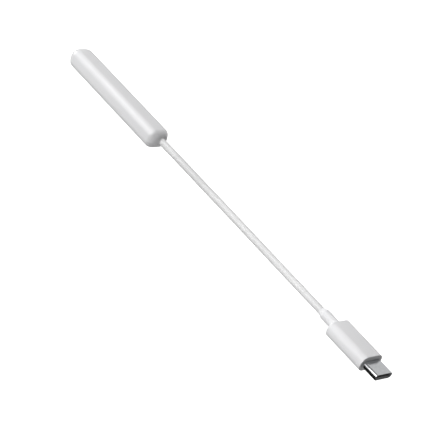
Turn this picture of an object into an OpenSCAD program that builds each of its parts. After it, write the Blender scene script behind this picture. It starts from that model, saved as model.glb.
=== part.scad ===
// Bluetooth audio receiver: a slim rounded bar on a short captive lead that ends in a USB-C plug.
// Frame: origin under the middle of the bar, on the surface it lies on; +X towards the plug, +Z up.

/* [Receiver body] */
// Length of the bar
body_l = 55.5; // [55:0.5:57]
// Width of the bar
body_w = 8.8; // [8.8:0.1:9.2]
// Height of the bar
body_h = 7.3; // [7.3:0.1:7.6]
// Radius of the bar's four long edges
edge_r = 2.6; // [2.4:0.1:2.7]
// Depth of the domes at the bar's two ends
dome_l = 3.4; // [3:0.1:3.6]
// Thickness of the bar's side, top and bottom walls
wall = 0.9; // [0.8:0.05:0.9]
// Thickness of the bar's two end walls, at the middle of the domes
end_wall = 2.2; // [2.1:0.1:2.4]

/* [Headphone socket] */
// Diameter of the socket's bore, for a 3.5 mm plug
socket_bore_d = 3.6; // [3.55:0.05:3.7]
// Length of the socket's moulded body
socket_l = 13; // [12.5:0.5:13]
// Width of the socket's moulded body
socket_w = 6.0; // [6:0.1:6.2]
// Height of the socket's moulded body
socket_h = 5.0; // [5:0.1:5]

/* [Pairing button] */
// Length of the button's cap along the bar
button_l = 6.0; // [5:0.5:7]
// Height of the button's cap
button_h = 2.2; // [1.8:0.1:2.2]
// How far the cap stands proud of the side wall
button_proud = 0.3; // [0.3:0.05:0.4]
// How far the button goes in when it is pressed
button_travel = 0.25; // [0.2:0.05:0.3]

/* [Lead] */
// Diameter of the lead's jacket
lead_d = 2.7; // [2.5:0.1:2.7]

/* [USB-C plug] */
// Width of the plug's grip
grip_w = 10.0; // [9.8:0.1:10.4]
// Height of the plug's grip
grip_h = 5.8; // [5.8:0.1:6.2]
// Length of the plug's grip
grip_l = 17.75; // [17.5:0.25:18.5]
// Radius of the grip's long edges
grip_r = 2.6; // [2.2:0.1:2.8]
// Diameter of the sleeve behind the grip
sleeve_d = 3.8; // [3.6:0.1:4]
// Length of the sleeve behind the grip
sleeve_l = 6.4; // [6:0.1:7]
// Width of the metal shell
shell_w = 8.25; // [8.2:0.05:8.3]
// Height of the metal shell
shell_h = 2.4; // [2.35:0.05:2.45]
// Length of the metal shell that stands out of the grip
shell_out = 6.6; // [6.4:0.1:6.65]

/* [Hidden] */

$fn = 48;
eps = 0.01;                        // overshoot of cutting tools
dome_steps = 9;                    // loops through each dome
corner_steps = 8;                  // facets round each corner of a loop

// Bar
mid_z = body_h / 2;
end_x = body_l / 2;
room_x = end_x - end_wall;         // inner faces of the end walls
room_w = body_w - 2 * wall;
room_h = body_h - 2 * wall;
seam = 0.05;                       // gap round the bottom cover
cover_w = 6.8;
cover_l = 46.4;
cover_t = mid_z - socket_h / 2;    // its top carries the socket
rib_t = 0.8;                       // thickness of the ribs and posts
rib_w = 0.8;                       // depth of the ribs that hold the board down
gland_rib_w = 1.45;                // depth of the two ribs that stop the gland
gland_rib_x = 22.1;
gland_rib_z = 1.5;
gland_rib_y = 2.3;                 // inner faces of the gland's ribs
post_w = 5;                        // width of the posts that carry the board
tab_l = 3;                         // length of the cover's snap tabs
tab_t = 0.5;
tab_h = 0.6;
tab_y = 2.9;                       // inner faces of the tabs

// Circuit board
board_x0 = -11.5;
board_x1 = 19.5;
board_w = 6.6;
board_z = mid_z - 1.5;             // underside of the board
board_t = 0.8;
board_top = board_z + board_t;
notch_x = 4.0;                     // half length of the notch behind the button
notch_y = 1.9;
peg_y = 2.5;                       // the board's peg holes lie this far from its middle
peg_r = 0.35;

// Chips: lengths are along X, widths along Y
shield_x = 4.5;
shield_l = 8;
shield_w = 5.6;
shield_h = 1.6;
shield_t = 0.2;
radio_w = 4.6;                     // the radio chip and the amplifier are square
radio_h = 0.85;
amp_w = 3;
amp_h = 0.8;
power_x = -5.0;                    // the regulator and the inductor lie in one column
power_l = 1.6;
leg_l = 0.35;
leg_w = 0.4;
leg_h = 0.3;
small_l = 1.0;                     // small capacitors and resistors
small_w = 0.5;
small_h = 0.35;
large_l = 0.8;                     // large capacitors stand across the board's underside
large_w = 1.6;

// Socket
socket_r = socket_bore_d / 2;
collar_r = 2.55;
collar_hole_r = 1.9;
collar_t = 1.3;
contact_t = 0.25;
leaf_y = 2.35;                     // inner faces of the contact leaves
leaf_h = 0.5;
leaf_pad = 1.0;                    // length of the pad that touches the plug
leaf_reach = 0.4;                  // how far the pad stands in towards the bore
leaf_x = [-22, -15.8];             // where the two pairs of leaves begin
leaf_z = [0.1, -0.6];              // their lower edges, above the middle
leaf_tail = [1.4, 0.7];            // their tails, past the end of the board
window_l = 1.6;                    // opening from the bore to each pad
window_h = 1.2;
slot_y = 2.3;                      // inner faces of the slots that the leaves lie in
slot_h = 1.4;

// Switch, button and lamp
switch_w = 3.6;
switch_d = 2.9;
switch_h = 1.4;
plunger_w = 1.6;
plunger_h = 0.8;
plunger_in = 0.9;
plunger_out = 0.7;
switch_t = 0.4;                    // walls of the switch's frame
switch_floor = 0.2;
dome_r = 1.5;                      // the snap dome is a strip cut from a ball of this radius
dome_t = 0.1;
dome_deep = 0.9;
dome_w = 2.4;
dome_h = 0.8;
led_l = 1.6;
led_w = 0.8;
led_h = 0.9;
led_y = 2.3;
stem_l = 1.2;
stem_h = 1.0;
button_gap = 0.12;
flange_t = 0.5;
flange_rim = 0.5;
lamp_x = 13.7;
lamp_r = 0.6;
lamp_z = 3.4;
pipe_y = board_w / 2 + 0.02;       // inner end of the light pipe
pipe_rim = 0.3;

// Gland and the wires behind it
gland_x = 20.2;
gland_w = 5.6;
gland_h = 4.4;
gland_r = 1;
power_wire_r = 0.35;
POWER_ROUTE = [                    // the wire on the +Y side; the other one mirrors it
    [20.16, 0.55, mid_z], [19.6, 0.6, mid_z], [18.9, 1.0, mid_z],
    [18.2, 1.5, board_top + 0.45], [17.5, 1.6, board_top + 0.38]];

// Where the plug lies
plug_y = 2.0;
plug_z = grip_h / 2;
sleeve_x = 121;

// Lead: it leaves a little above and beside the middle of the end, and its route runs from the
// gland's face to the sleeve behind the plug
lead_r = lead_d / 2;
lead_y = 0.4;
lead_z = mid_z + 0.3;
LEAD_ROUTE = [
    [room_x, lead_y, lead_z], [30, lead_y, lead_z], [34, 0.6, 3.85], [38, 1.05, 3.55], [42, 1.7, 3.1],
    [46, 2.5, 2.55], [50, 3.25, 2.0], [54, 3.8, 1.65], [58, 4.1, 1.45], [62, 4.2, 1.4],
    [68, 4.2, 1.4], [74, 4.2, 1.4], [81, 4.2, 1.4], [88, 4.15, 1.4], [93, 4.05, 1.45],
    [98, 3.75, 1.65], [103, 3.2, 2.05], [108, 2.65, 2.45], [112, 2.25, 2.72], [116, 2.05, 2.87],
    [119, plug_y, plug_z], [sleeve_x, plug_y, plug_z]];

// Plug
grip_x = sleeve_x + sleeve_l;
face_x = grip_x + grip_l;          // front face of the grip
tip_x = face_x + shell_out;
shell_t = 0.25;
shell_in = 6.0;                    // length of the shell inside the grip
mouth_l = 5.6;                     // depth of the plug's mouth
mouth_w = 6.9;
mouth_h = 1.0;
pitch = 0.5;                       // contact pitch
contact_w = 0.24;
contact_h = 0.12;
mould_x = grip_x + 1.4;
mould_l = 9.0;
mould_w = 8.4;
mould_h = 4.0;
mould_r = 1.45;
pocket_x = 0.8;                    // the mould is hollow from here on
pocket_w = 7.0;
pocket_h = 2.8;
pocket_r = 0.8;
carrier_gap = 0.04;                // between the shell and the contact carrier
carrier_back = 0.5;
carrier_front = 0.4;
contact_l = 3.6;
latch_l = 4.2;
latch_t = 0.15;
latch_h = 0.6;
pad_l = 1.0;                       // ground springs
pad_t = 0.08;
pad_y = 2.1;
plug_board_x = mould_x + 2.4;
plug_board_w = 6.4;
plug_board_t = 0.6;
crimp_r = 1.75;
crimp_hole_r = 1.35;
crimp_l = 1.4;
plug_wire_r = 0.32;
PLUG_ROUTE = [                     // from the end of the lead's jacket, about the plug's axis
    [2.0, 0.5, 0.2], [3.0, 0.7, 0.35], [3.8, 1.2, 0.7], [5.6, 1.4, 0.66]];

// ---- shared shapes ----

// Rectangle with round corners, in the plane, centred
module round_rect(w, h, r) {
    square([w - 2 * r, h], center = true);
    square([w, h - 2 * r], center = true);
    for (x = [-1, 1], y = [-1, 1])
        translate([x * (w / 2 - r), y * (h / 2 - r)]) circle(r);
}

// Bar along X from x0, with a section of round_rect, centred on y and z
module long_bar(x0, l, w, h, r, y = 0, z = 0) {
    translate([x0, y, z]) rotate([90, 0, 90]) linear_extrude(l) round_rect(w, h, r);
}

// Rod along X from x0
module rod_x(x0, l, r, y, z) {
    translate([x0, y, z]) rotate([0, 90, 0]) cylinder(h = l, r = r);
}

// Box given by its lowest corner and its size
module block(at, size) {
    translate(at) cube(size);
}

// The same box on both sides of the middle plane, between y and y + w from it
module block_pair(x, y, z, size) {
    for (s = [-1, 1]) block([x, s > 0 ? y : -y - size[1], z], size);
}

// Stadium plate that lies against a side wall: l along X, h along Z, from y0 outwards
module side_pill(x, z, l, h, y0, t) {
    translate([x, y0 + t, z]) rotate([90, 0, 0]) linear_extrude(t) {
        square([l - h, h], center = true);
        for (s = [-1, 1]) translate([s * (l - h) / 2, 0]) circle(h / 2);
    }
}

// Closed solid through a list of rings, each a loop of the same number of points round +X
module loft(rings) {
    n = len(rings[0]);
    last = len(rings) - 1;
    skin = [for (i = [0:last - 1], k = [0:n - 1])
        [i * n + k, (i + 1) * n + k, (i + 1) * n + (k + 1) % n, i * n + (k + 1) % n]];
    caps = [[for (k = [0:n - 1]) k], [for (k = [0:n - 1]) (last + 1) * n - 1 - k]];
    polyhedron([for (one = rings, v = one) v], concat(skin, caps), convexity = 6);
}

// Loop at x round a rectangle with round corners, w wide and h high, centred on y = 0 and z
function loop(x, z, w, h, r) =
    [for (q = [0:3], k = [0:corner_steps])
        let (a = 90 * (q + k / corner_steps), sy = q == 0 || q == 3 ? 1 : -1, sz = q < 2 ? 1 : -1)
        [x, sy * (w / 2 - r) + r * cos(a), z + sz * (h / 2 - r) + r * sin(a)]];

// Bar lying on z = 0 with round long edges and a shallow dome on each end
function dome_loop(s, in, l, w, h, r, dome) =
    let (lost = (1 - in) * h, x = l / 2 - dome * (1 - sqrt(1 - in * in)))
    loop(s * x, h / 2, w - lost, h - lost, min(r, 0.45 * (h - lost)));
module soft_bar(l, w, h, r, dome) {
    part_in = [for (i = [0:dome_steps]) cos(85 * i / dome_steps)];    // 1 at the dome's rim
    left = [for (i = [dome_steps:-1:0]) dome_loop(-1, part_in[i], l, w, h, r, dome)];
    right = [for (i = [0:dome_steps]) dome_loop(1, part_in[i], l, w, h, r, dome)];
    loft(concat(left, right));
}

// Tube swept along points
function unit(v) = v / norm(v);
function heading(p, i) = unit(p[min(i + 1, len(p) - 1)] - p[max(i - 1, 0)]);
function ring(p, i, r, n) =
    let (t = heading(p, i), side = unit(cross([0, 0, 1], t)), up = cross(t, side))
    [for (k = [0:n - 1]) let (a = 360 * (k + 0.5) / n) p[i] + r * (cos(a) * side + sin(a) * up)];
module swept_tube(p, r, n = 8) loft([for (i = [0:len(p) - 1]) ring(p, i, r, n)]);

// ---- receiver casing ----

module housing_ribs() {
    ceiling = body_h - wall + eps;
    for (x = [-10.4, 16.6])
        block_pair(x, gland_rib_y + gland_rib_w - rib_w, board_top, [rib_t, rib_w, ceiling - board_top]);
    block_pair(gland_rib_x, gland_rib_y, gland_rib_z, [rib_t, gland_rib_w, ceiling - gland_rib_z]);
}

module upper_housing() color("white") {
    difference() {
        soft_bar(body_l, body_w, body_h, edge_r, dome_l);
        long_bar(-room_x, 2 * room_x, room_w, room_h, edge_r - wall, 0, mid_z);
        block([-cover_l / 2 - seam, -cover_w / 2 - seam, -1],
              [cover_l + 2 * seam, cover_w + 2 * seam, 1 + mid_z / 2]);
        rod_x(-end_x - 1, end_wall + 1 + eps, collar_r + seam, 0, mid_z);
        rod_x(room_x - eps, end_wall + 1, lead_r + seam, lead_y, lead_z);
        side_pill(0, mid_z, button_l + 2 * button_gap, button_h + 2 * button_gap, room_w / 2 - 1, 3);
        translate([lamp_x, room_w / 2 - 1, lamp_z]) rotate([-90, 0, 0])
            cylinder(h = 3, r = lamp_r + seam);
    }
    intersection() {
        housing_ribs();
        long_bar(-room_x, 2 * room_x, room_w + wall, room_h + wall, edge_r - wall / 2, 0, mid_z);
    }
}

module bottom_cover() color("white") {
    intersection() {
        long_bar(-cover_l / 2, cover_l, body_w, body_h, edge_r, 0, mid_z);
        block([-cover_l / 2, -cover_w / 2, 0], [cover_l, cover_w, cover_t]);
    }
    for (x = [-10.8, -5, 6.2, 16.6])
        block([x, -post_w / 2, cover_t - eps], [rib_t, post_w, board_z - cover_t + eps]);
    for (x = [-8, 9]) block_pair(x, tab_y, cover_t - eps, [tab_l, tab_t, tab_h]);
}

// ---- circuit board and what is soldered to it ----

module main_board() color("green") difference() {
    block([board_x0, -board_w / 2, board_z], [board_x1 - board_x0, board_w, board_t]);
    block([-notch_x, notch_y, board_z - 1], [2 * notch_x, board_w, board_t + 2]);
    for (x = [board_x0 + 3.6, board_x1 - 4.9], s = [-1, 1])
        translate([x, s * peg_y, board_z - 1]) cylinder(h = board_t + 2, r = peg_r);
}

module bluetooth_chip() color("black")
    block([shield_x + 0.4, -2.4, board_top], [radio_w, radio_w, radio_h]);

module rf_shield() color("silver") difference() {
    block([shield_x, -2.9, board_top], [shield_l, shield_w, shield_h]);
    block([shield_x + shield_t, -2.9 + shield_t, board_top - 1],
          [shield_l - 2 * shield_t, shield_w - 2 * shield_t, shield_h - shield_t + 1]);
}

module clock_crystal() color("silver") block([10.1, -1.3, board_top], [1.6, 2.5, 0.5]);

module headphone_amplifier() color("black") block([-8.4, -amp_w / 2, board_top], [amp_w, amp_w, amp_h]);

module voltage_regulator() color("black") {
    block([power_x, -2.9, board_top + 0.1], [power_l, 2.9, 0.95]);
    for (x = [power_x - leg_l, power_x + power_l], y = [-2.65, -0.7])
        block([x, y, board_top], [leg_l + eps, leg_w, leg_h]);
}

module power_inductor() color("dimgray") block([power_x, 0.3, board_top], [power_l, 2.0, 1.0]);

module chip_capacitors() color("tan") {
    small = [small_l, small_w, small_w];
    for (x = [-7.9, -6.5]) block_pair(x, 2.1, board_top, small);
    for (x = [-1.6, 0.6]) block([x, -2.4, board_top], small);
    for (x = [-8.6, 2.2, 11.4]) block([x, -large_w / 2, board_z - large_l], [large_l, large_w, large_l]);
}

module chip_resistors() color("black") {
    small = [small_l, small_w, small_h];
    for (y = [-2.9, -2.2, 1.4]) block([13.0, y, board_top], small);
    for (x = [-3.2, -0.4, 8.6, 13.8]) block([x, -small_w / 2, board_z - small_h], small);
}

module chip_antenna() color("white") block([14.6, -1.6, board_top], [1.6, 3.2, 0.9]);

// ---- headphone socket ----

module socket_body() color("black") difference() {
    long_bar(-room_x, socket_l, socket_w, socket_h, 1.2, 0, mid_z);
    rod_x(-room_x - 1, socket_l + 2, socket_r, 0, mid_z);
    for (x = leaf_x) {
        block_pair(x, slot_y, mid_z - slot_h / 2, [-room_x + socket_l - x + 1, 2, slot_h]);
        block_pair(x, 1.5, mid_z - window_h / 2, [window_l, 0.9, window_h]);
    }
}

module socket_collar() color("silver") difference() {
    rod_x(-room_x - collar_t, collar_t, collar_r, 0, mid_z);
    rod_x(-room_x - collar_t - 1, collar_t + 2, collar_hole_r, 0, mid_z);
}

// Leaves along the socket's sides, with a pad that looks into the bore and a tail down to the board
module socket_contacts() color("gold") for (i = [0, 1]) {
    x = leaf_x[i] + 0.2;
    z = mid_z + leaf_z[i];
    tail_x = board_x0 + leaf_tail[i];
    block_pair(x, leaf_y, z, [tail_x - x, contact_t, leaf_h]);
    block_pair(x, leaf_y - leaf_reach, z, [leaf_pad, leaf_reach + eps, leaf_h]);
    block_pair(tail_x - leaf_h, leaf_y, board_top, [leaf_h, contact_t, z - board_top + eps]);
}

// ---- button, its switch and the lamp ----

module pairing_button() color("white") {
    rim_y = room_w / 2 - 0.1 - flange_t;
    side_pill(0, mid_z, button_l, button_h, rim_y, body_w / 2 + button_proud - rim_y);
    side_pill(0, mid_z, button_l + 2 * flange_rim, button_h + flange_rim, rim_y, flange_t);
    block([-stem_l / 2, notch_y + plunger_out, mid_z - stem_h / 2],
          [stem_l, rim_y - notch_y - plunger_out + eps, stem_h]);
}

module switch_frame() color("dimgray") difference() {
    block([-switch_w / 2, notch_y - switch_d, board_top], [switch_w, switch_d, switch_h]);
    block([-switch_w / 2 + switch_t, notch_y - switch_d + switch_t, board_top + switch_floor],
          [switch_w - 2 * switch_t, switch_d - 2 * switch_t, switch_h - 2 * switch_floor]);
    block([-plunger_w / 2 - 0.1, notch_y - 1, mid_z - plunger_h / 2 - 0.08],
          [plunger_w + 0.2, 2, plunger_h + 0.16]);
}

module switch_dome() color("silver")
    translate([0, notch_y - switch_d + 0.5, mid_z]) intersection() {
        rotate([-90, 0, 0]) difference() {
            translate([0, 0, -dome_deep]) sphere(dome_r);
            translate([0, 0, -dome_deep]) sphere(dome_r - dome_t);
        }
        block([-dome_w / 2, 0, -dome_h / 2], [dome_w, dome_r, dome_h]);
    }

module switch_plunger() color("black")
    block([-plunger_w / 2, notch_y - plunger_in, mid_z - plunger_h / 2],
          [plunger_w, plunger_in + plunger_out - 0.02, plunger_h]);

module status_led() color("ivory") block([lamp_x - led_l / 2, led_y, board_top], [led_l, led_w, led_h]);

module light_pipe() color("lightcyan") translate([lamp_x, 0, lamp_z]) rotate([-90, 0, 0]) {
    translate([0, 0, pipe_y]) cylinder(h = body_w / 2 - pipe_y, r = lamp_r);
    translate([0, 0, pipe_y]) cylinder(h = room_w / 2 - seam - pipe_y, r = lamp_r + pipe_rim);
}

// ---- where the lead comes in ----

module cable_gland() color("whitesmoke") difference() {
    long_bar(gland_x, room_x - gland_x, gland_w, gland_h, gland_r, 0, mid_z);
    block_pair(gland_rib_x - seam, gland_rib_y - seam, 0, [rib_t + 2 * seam, 1, body_h]);
}

module power_wires() color("firebrick") for (s = [-1, 1])
    swept_tube([for (p = POWER_ROUTE) [p[0], s * p[1], p[2]]], power_wire_r);

module lead() color("white") swept_tube(LEAD_ROUTE, lead_r);

// ---- USB-C plug ----

module plug_sleeve() color("white") rod_x(sleeve_x, sleeve_l, sleeve_d / 2, plug_y, plug_z);

module plug_grip() color("white") difference() {
    long_bar(grip_x, grip_l, grip_w, grip_h, grip_r, plug_y, plug_z);
    long_bar(mould_x - 1, mould_l + 1 + seam, mould_w + 2 * seam, mould_h + 2 * seam,
             mould_r + seam, plug_y, plug_z);
    long_bar(mould_x, face_x - mould_x + 1, shell_w + 2 * seam, shell_h + 2 * seam,
             shell_h / 2, plug_y, plug_z);
}

module plug_inner_mould() color("whitesmoke") difference() {
    long_bar(mould_x, mould_l, mould_w, mould_h, mould_r, plug_y, plug_z);
    long_bar(mould_x + pocket_x, mould_l, pocket_w, pocket_h, pocket_r, plug_y, plug_z);
    rod_x(mould_x - 1, 3, crimp_r + seam, plug_y, plug_z);
}

module plug_shell() color("silver") difference() {
    long_bar(face_x - shell_in, shell_in + shell_out, shell_w, shell_h, shell_h / 2 - eps, plug_y, plug_z);
    long_bar(face_x - shell_in - 1, shell_in + shell_out + 2, shell_w - 2 * shell_t,
             shell_h - 2 * shell_t, shell_h / 2 - shell_t - eps, plug_y, plug_z);
}

module contact_carrier() color("dimgray") difference() {
    inset = shell_t + carrier_gap / 2;
    long_bar(face_x - shell_in + carrier_back, shell_in + shell_out - carrier_back - carrier_front,
             shell_w - 2 * inset, shell_h - 2 * inset, shell_h / 2 - shell_t - carrier_gap, plug_y, plug_z);
    block([tip_x - mouth_l, plug_y - mouth_w / 2, plug_z - mouth_h / 2], [mouth_l + 1, mouth_w, mouth_h]);
}

module contact_row(z) {
    for (i = [-5.5:5.5])
        block([tip_x - mouth_l, plug_y + i * pitch - contact_w / 2, z], [contact_l, contact_w, contact_h]);
}

module upper_contacts() color("gold") contact_row(plug_z + mouth_h / 2 - contact_h);

module lower_contacts() color("gold") contact_row(plug_z - mouth_h / 2);

module latch_springs() color("silver") translate([0, plug_y, 0])
    block_pair(tip_x - mouth_l, mouth_w / 2 - latch_t, plug_z - latch_h / 2, [latch_l, latch_t, latch_h]);

module ground_springs() color("silver") for (z = [-mouth_h / 2, mouth_h / 2 - pad_t], i = [-1, 0, 1])
    block([tip_x - 1.6, plug_y + i * pad_y - pad_l / 2, plug_z + z], [pad_l, pad_l, pad_t]);

module plug_board() color("green")
    block([plug_board_x, plug_y - plug_board_w / 2, plug_z - plug_board_t / 2],
          [face_x - shell_in + 0.4 - plug_board_x, plug_board_w, plug_board_t]);

module plug_wires() color("firebrick") for (s = [-1, 1])
    swept_tube([for (p = PLUG_ROUTE) [grip_x + p[0], plug_y + s * p[1], plug_z + p[2]]], plug_wire_r);

module crimp_ring() color("silver") difference() {
    rod_x(grip_x + 1.0 + eps, crimp_l, crimp_r, plug_y, plug_z);
    rod_x(grip_x, 3, crimp_hole_r, plug_y, plug_z);
}

upper_housing();
bottom_cover();
pairing_button();
main_board();
bluetooth_chip();
rf_shield();
clock_crystal();
headphone_amplifier();
voltage_regulator();
power_inductor();
chip_capacitors();
chip_resistors();
chip_antenna();
socket_body();
socket_collar();
socket_contacts();
switch_frame();
switch_dome();
switch_plunger();
status_led();
light_pipe();
cable_gland();
power_wires();
lead();
plug_sleeve();
plug_grip();
plug_inner_mould();
plug_shell();
contact_carrier();
upper_contacts();
lower_contacts();
latch_springs();
ground_springs();
plug_board();
plug_wires();
crimp_ring();
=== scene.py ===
"""Looks for the Bluetooth audio receiver: a rounded bar, its short lead and its USB-C plug."""
import math

import bmesh
import bpy
from mathutils import Matrix, Vector


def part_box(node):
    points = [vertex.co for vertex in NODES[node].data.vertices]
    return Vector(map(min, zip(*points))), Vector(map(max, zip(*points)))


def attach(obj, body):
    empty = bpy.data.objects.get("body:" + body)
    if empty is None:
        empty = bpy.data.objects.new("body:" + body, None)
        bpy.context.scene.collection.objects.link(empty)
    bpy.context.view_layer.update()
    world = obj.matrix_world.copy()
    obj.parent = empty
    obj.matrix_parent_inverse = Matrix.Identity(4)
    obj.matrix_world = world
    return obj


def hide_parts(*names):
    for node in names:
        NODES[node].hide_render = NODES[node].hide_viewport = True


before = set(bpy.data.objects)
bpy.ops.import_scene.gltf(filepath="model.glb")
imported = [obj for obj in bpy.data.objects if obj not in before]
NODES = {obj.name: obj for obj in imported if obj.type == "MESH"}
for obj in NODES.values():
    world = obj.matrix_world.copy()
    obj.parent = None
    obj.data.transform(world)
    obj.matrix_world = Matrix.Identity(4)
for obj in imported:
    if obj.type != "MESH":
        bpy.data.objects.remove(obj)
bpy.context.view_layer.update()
MM = 0.001
OVER = 1 * MM                     # overshoot of cutting shapes
CREASE = math.radians(35)         # edges sharper than this are shaded as creases


# ---- places and sizes ----

def mm(*values):
    """Millimetres as metres."""
    return tuple(v * MM for v in values)


def corners(node):
    """Lowest and highest corners of a CAD node at rest."""
    low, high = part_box(node)
    return Vector(low), Vector(high)


def size_of(node):
    low, high = corners(node)
    return high - low


def mid_of(node):
    low, high = corners(node)
    return (low + high) / 2


def about(mid, half):
    """Range that reaches half either side of mid."""
    return mid - half, mid + half


def past(low, high, by=OVER):
    """Range that reaches a little past low and high."""
    return low - by, high + by


def span(x, y, z):
    """Low and high corners of the box over three ranges, each given either way round."""
    return tuple(zip(*(sorted(ends) for ends in (x, y, z))))


# ---- the camera ----

AIM = Vector((72.56, -4.92, 3.0)) * MM
AZIMUTH, ELEVATION, ROLL = 37.01, 29.43, -26.6
CAMERA_DISTANCE = 0.6084
LENS = 143.85


def away(azimuth, elevation):
    """Unit vector from the object towards something seen at that azimuth and elevation."""
    a, e = math.radians(azimuth), math.radians(elevation)
    return Vector((math.sin(a) * math.cos(e), -math.cos(a) * math.cos(e), math.sin(e)))


def make_camera():
    data = bpy.data.cameras.new("camera")
    data.lens = LENS
    data.sensor_width = 36
    data.clip_start = 0.01
    camera = bpy.data.objects.new("camera", data)
    back = away(AZIMUTH, ELEVATION)
    level = (Vector((0, 0, 1)) - back * back.z).normalized()
    side = level.cross(back)
    turn = math.radians(ROLL)
    up = level * math.cos(turn) + side * math.sin(turn)
    axes = Matrix((up.cross(back), up, back)).transposed()
    camera.matrix_world = Matrix.Translation(AIM + back * CAMERA_DISTANCE) @ axes.to_4x4()
    bpy.context.collection.objects.link(camera)
    bpy.context.scene.camera = camera


make_camera()


# ---- the lead ----

LEAD_D = 2.7 * MM
LEAD_ROUTE = [
    (25.55, 0.4, 3.95), (30, 0.4, 3.95), (34, 0.6, 3.85), (38, 1.05, 3.55), (42, 1.7, 3.1),
    (46, 2.5, 2.55), (50, 3.25, 2.0), (54, 3.8, 1.65), (58, 4.1, 1.45), (62, 4.2, 1.4),
    (68, 4.2, 1.4), (74, 4.2, 1.4), (81, 4.2, 1.4), (88, 4.15, 1.4), (93, 4.05, 1.45),
    (98, 3.75, 1.65), (103, 3.2, 2.05), (108, 2.65, 2.45), (112, 2.25, 2.72), (116, 2.05, 2.87),
    (119, 2.0, 2.9), (121, 2.0, 2.9)]


def smooth_route(points, pieces=4):
    """The same route with more points on it, on a curve that passes through every given one."""
    p = [Vector(q) * MM for q in points]
    p = [2 * p[0] - p[1]] + p + [2 * p[-1] - p[-2]]
    out = []
    for a, b, c, d in zip(p, p[1:], p[2:], p[3:]):
        for i in range(pieces):
            t = i / pieces
            out.append(0.5 * (2 * b + (c - a) * t + (2 * a - 5 * b + 4 * c - d) * t ** 2
                              + (3 * b - a - 3 * c + d) * t ** 3))
    return out + [p[-2]]


def make_lead():
    route = smooth_route(LEAD_ROUTE)
    data = bpy.data.curves.new("lead_jacket", "CURVE")
    data.dimensions = "3D"
    data.bevel_depth = LEAD_D / 2
    data.bevel_resolution = 10
    data.use_fill_caps = True
    spline = data.splines.new("POLY")
    spline.points.add(len(route) - 1)
    for point, at in zip(spline.points, route):
        point.co = (*at, 1)
        point.radius = 1
    spline.use_smooth = True
    piece = bpy.data.objects.new("lead_jacket", data)
    bpy.context.collection.objects.link(piece)
    length = sum((b - a).length for a, b in zip(route, route[1:]))
    return piece, length


lead_piece, LEAD_LENGTH = make_lead()


# ---- mesh building ----

def link_mesh(name, verts, faces):
    data = bpy.data.meshes.new(name)
    data.from_pydata([tuple(v) for v in verts], [], faces)
    data.validate()
    piece = bpy.data.objects.new(name, data)
    bpy.context.collection.objects.link(piece)
    tidy(piece)
    return piece


def tidy(piece):
    """Outward normals, and smooth shading except across creases."""
    work = bmesh.new()
    work.from_mesh(piece.data)
    bmesh.ops.remove_doubles(work, verts=work.verts, dist=1e-7)
    bmesh.ops.recalc_face_normals(work, faces=work.faces)
    work.to_mesh(piece.data)
    work.free()
    piece.data.shade_smooth()
    piece.data.set_sharp_from_angle(angle=CREASE)


def bake_modifiers(piece):
    """Turns the piece's modifiers into mesh."""
    graph = bpy.context.evaluated_depsgraph_get()
    data = bpy.data.meshes.new_from_object(piece.evaluated_get(graph))
    piece.modifiers.clear()
    piece.data = data


def cut(piece, *tools, action="DIFFERENCE"):
    """Takes the tools' shapes away from the piece, or keeps what is inside them, and deletes the tools."""
    for tool in tools:
        step = piece.modifiers.new("cut", "BOOLEAN")
        step.operation, step.solver, step.object = action, "EXACT", tool
    bake_modifiers(piece)
    for tool in tools:
        bpy.data.objects.remove(tool)
    tidy(piece)
    return piece


def soften(piece, width, segments=3, angle=40):
    """Rounds the piece's sharp edges."""
    step = piece.modifiers.new("soften", "BEVEL")
    step.width, step.segments = width, segments
    step.limit_method, step.angle_limit = "ANGLE", math.radians(angle)
    step.harden_normals = False
    step.use_clamp_overlap = True
    bake_modifiers(piece)
    tidy(piece)
    return piece


def join(name, *pieces):
    """One piece out of several, keeping their materials."""
    work, slots = bmesh.new(), []
    for part in pieces:
        start = len(work.faces)
        work.from_mesh(part.data)
        work.faces.ensure_lookup_table()
        for face in work.faces[start:]:
            own = part.data.materials[face.material_index] if part.data.materials else None
            if own not in slots:
                slots.append(own)
            face.material_index = slots.index(own)
    data = bpy.data.meshes.new(name)
    work.to_mesh(data)
    work.free()
    for own in slots:
        data.materials.append(own)
    for part in pieces:
        bpy.data.objects.remove(part)
    piece = bpy.data.objects.new(name, data)
    bpy.context.collection.objects.link(piece)
    data.set_sharp_from_angle(angle=CREASE)
    return piece


def section(w, h, r, steps=12):
    """Rectangle with round corners, as (y, z) points in order round the middle."""
    r = min(r, w / 2 - 1e-6, h / 2 - 1e-6)
    points = []
    for quarter, (sy, sz) in enumerate(((1, 1), (-1, 1), (-1, -1), (1, -1))):
        for i in range(steps + 1):
            a = math.radians(90 * (quarter + i / steps))
            points.append((sy * (w / 2 - r) + r * math.cos(a), sz * (h / 2 - r) + r * math.sin(a)))
    return points


def skin(rings, count, closed=False):
    """Faces over rings of count points each, closed on themselves or capped at both ends."""
    faces = []
    for i in range(rings if closed else rings - 1):
        a, b = i * count, (i + 1) % rings * count
        faces += [(a + k, a + (k + 1) % count, b + (k + 1) % count, b + k) for k in range(count)]
    if not closed:
        faces.append(tuple(range(count)))
        faces.append(tuple((rings - 1) * count + k for k in range(count)))
    return faces


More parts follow.
